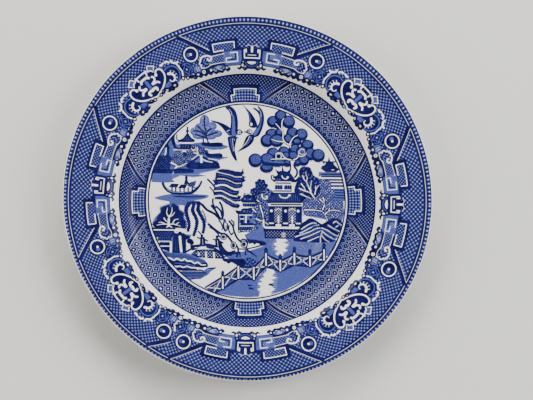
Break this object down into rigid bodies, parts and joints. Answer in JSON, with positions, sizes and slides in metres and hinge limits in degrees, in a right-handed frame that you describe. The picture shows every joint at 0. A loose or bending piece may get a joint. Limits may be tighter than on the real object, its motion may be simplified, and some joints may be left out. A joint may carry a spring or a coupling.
{
  "type": "dinner plate",
  "caption": "Round china dinner plate with a recessed well, a broad sloping rim, a foot ring and blue underglaze prints under clear glaze.",
  "frame": {"origin": "middle of the foot ring, on the surface that the plate stands on", "axes": "+Z is the plate's axis and points up out of the well; +Y is towards the top of the printed scene and +X towards its right"},
  "size_m": [0.254, 0.254, 0.0237],
  "materials": {
    "clay_body": "matte",
    "clear_glaze": "polished",
    "cobalt_print": "gloss"
  },
  "bodies": {
    "root": {"clay_body": "clay_body", "face_glaze": "clear_glaze", "base_glaze": "clear_glaze", "scene_print": "cobalt_print", "inner_border_print": "cobalt_print", "rim_border_print": "cobalt_print"}
  },
  "joints": []
}
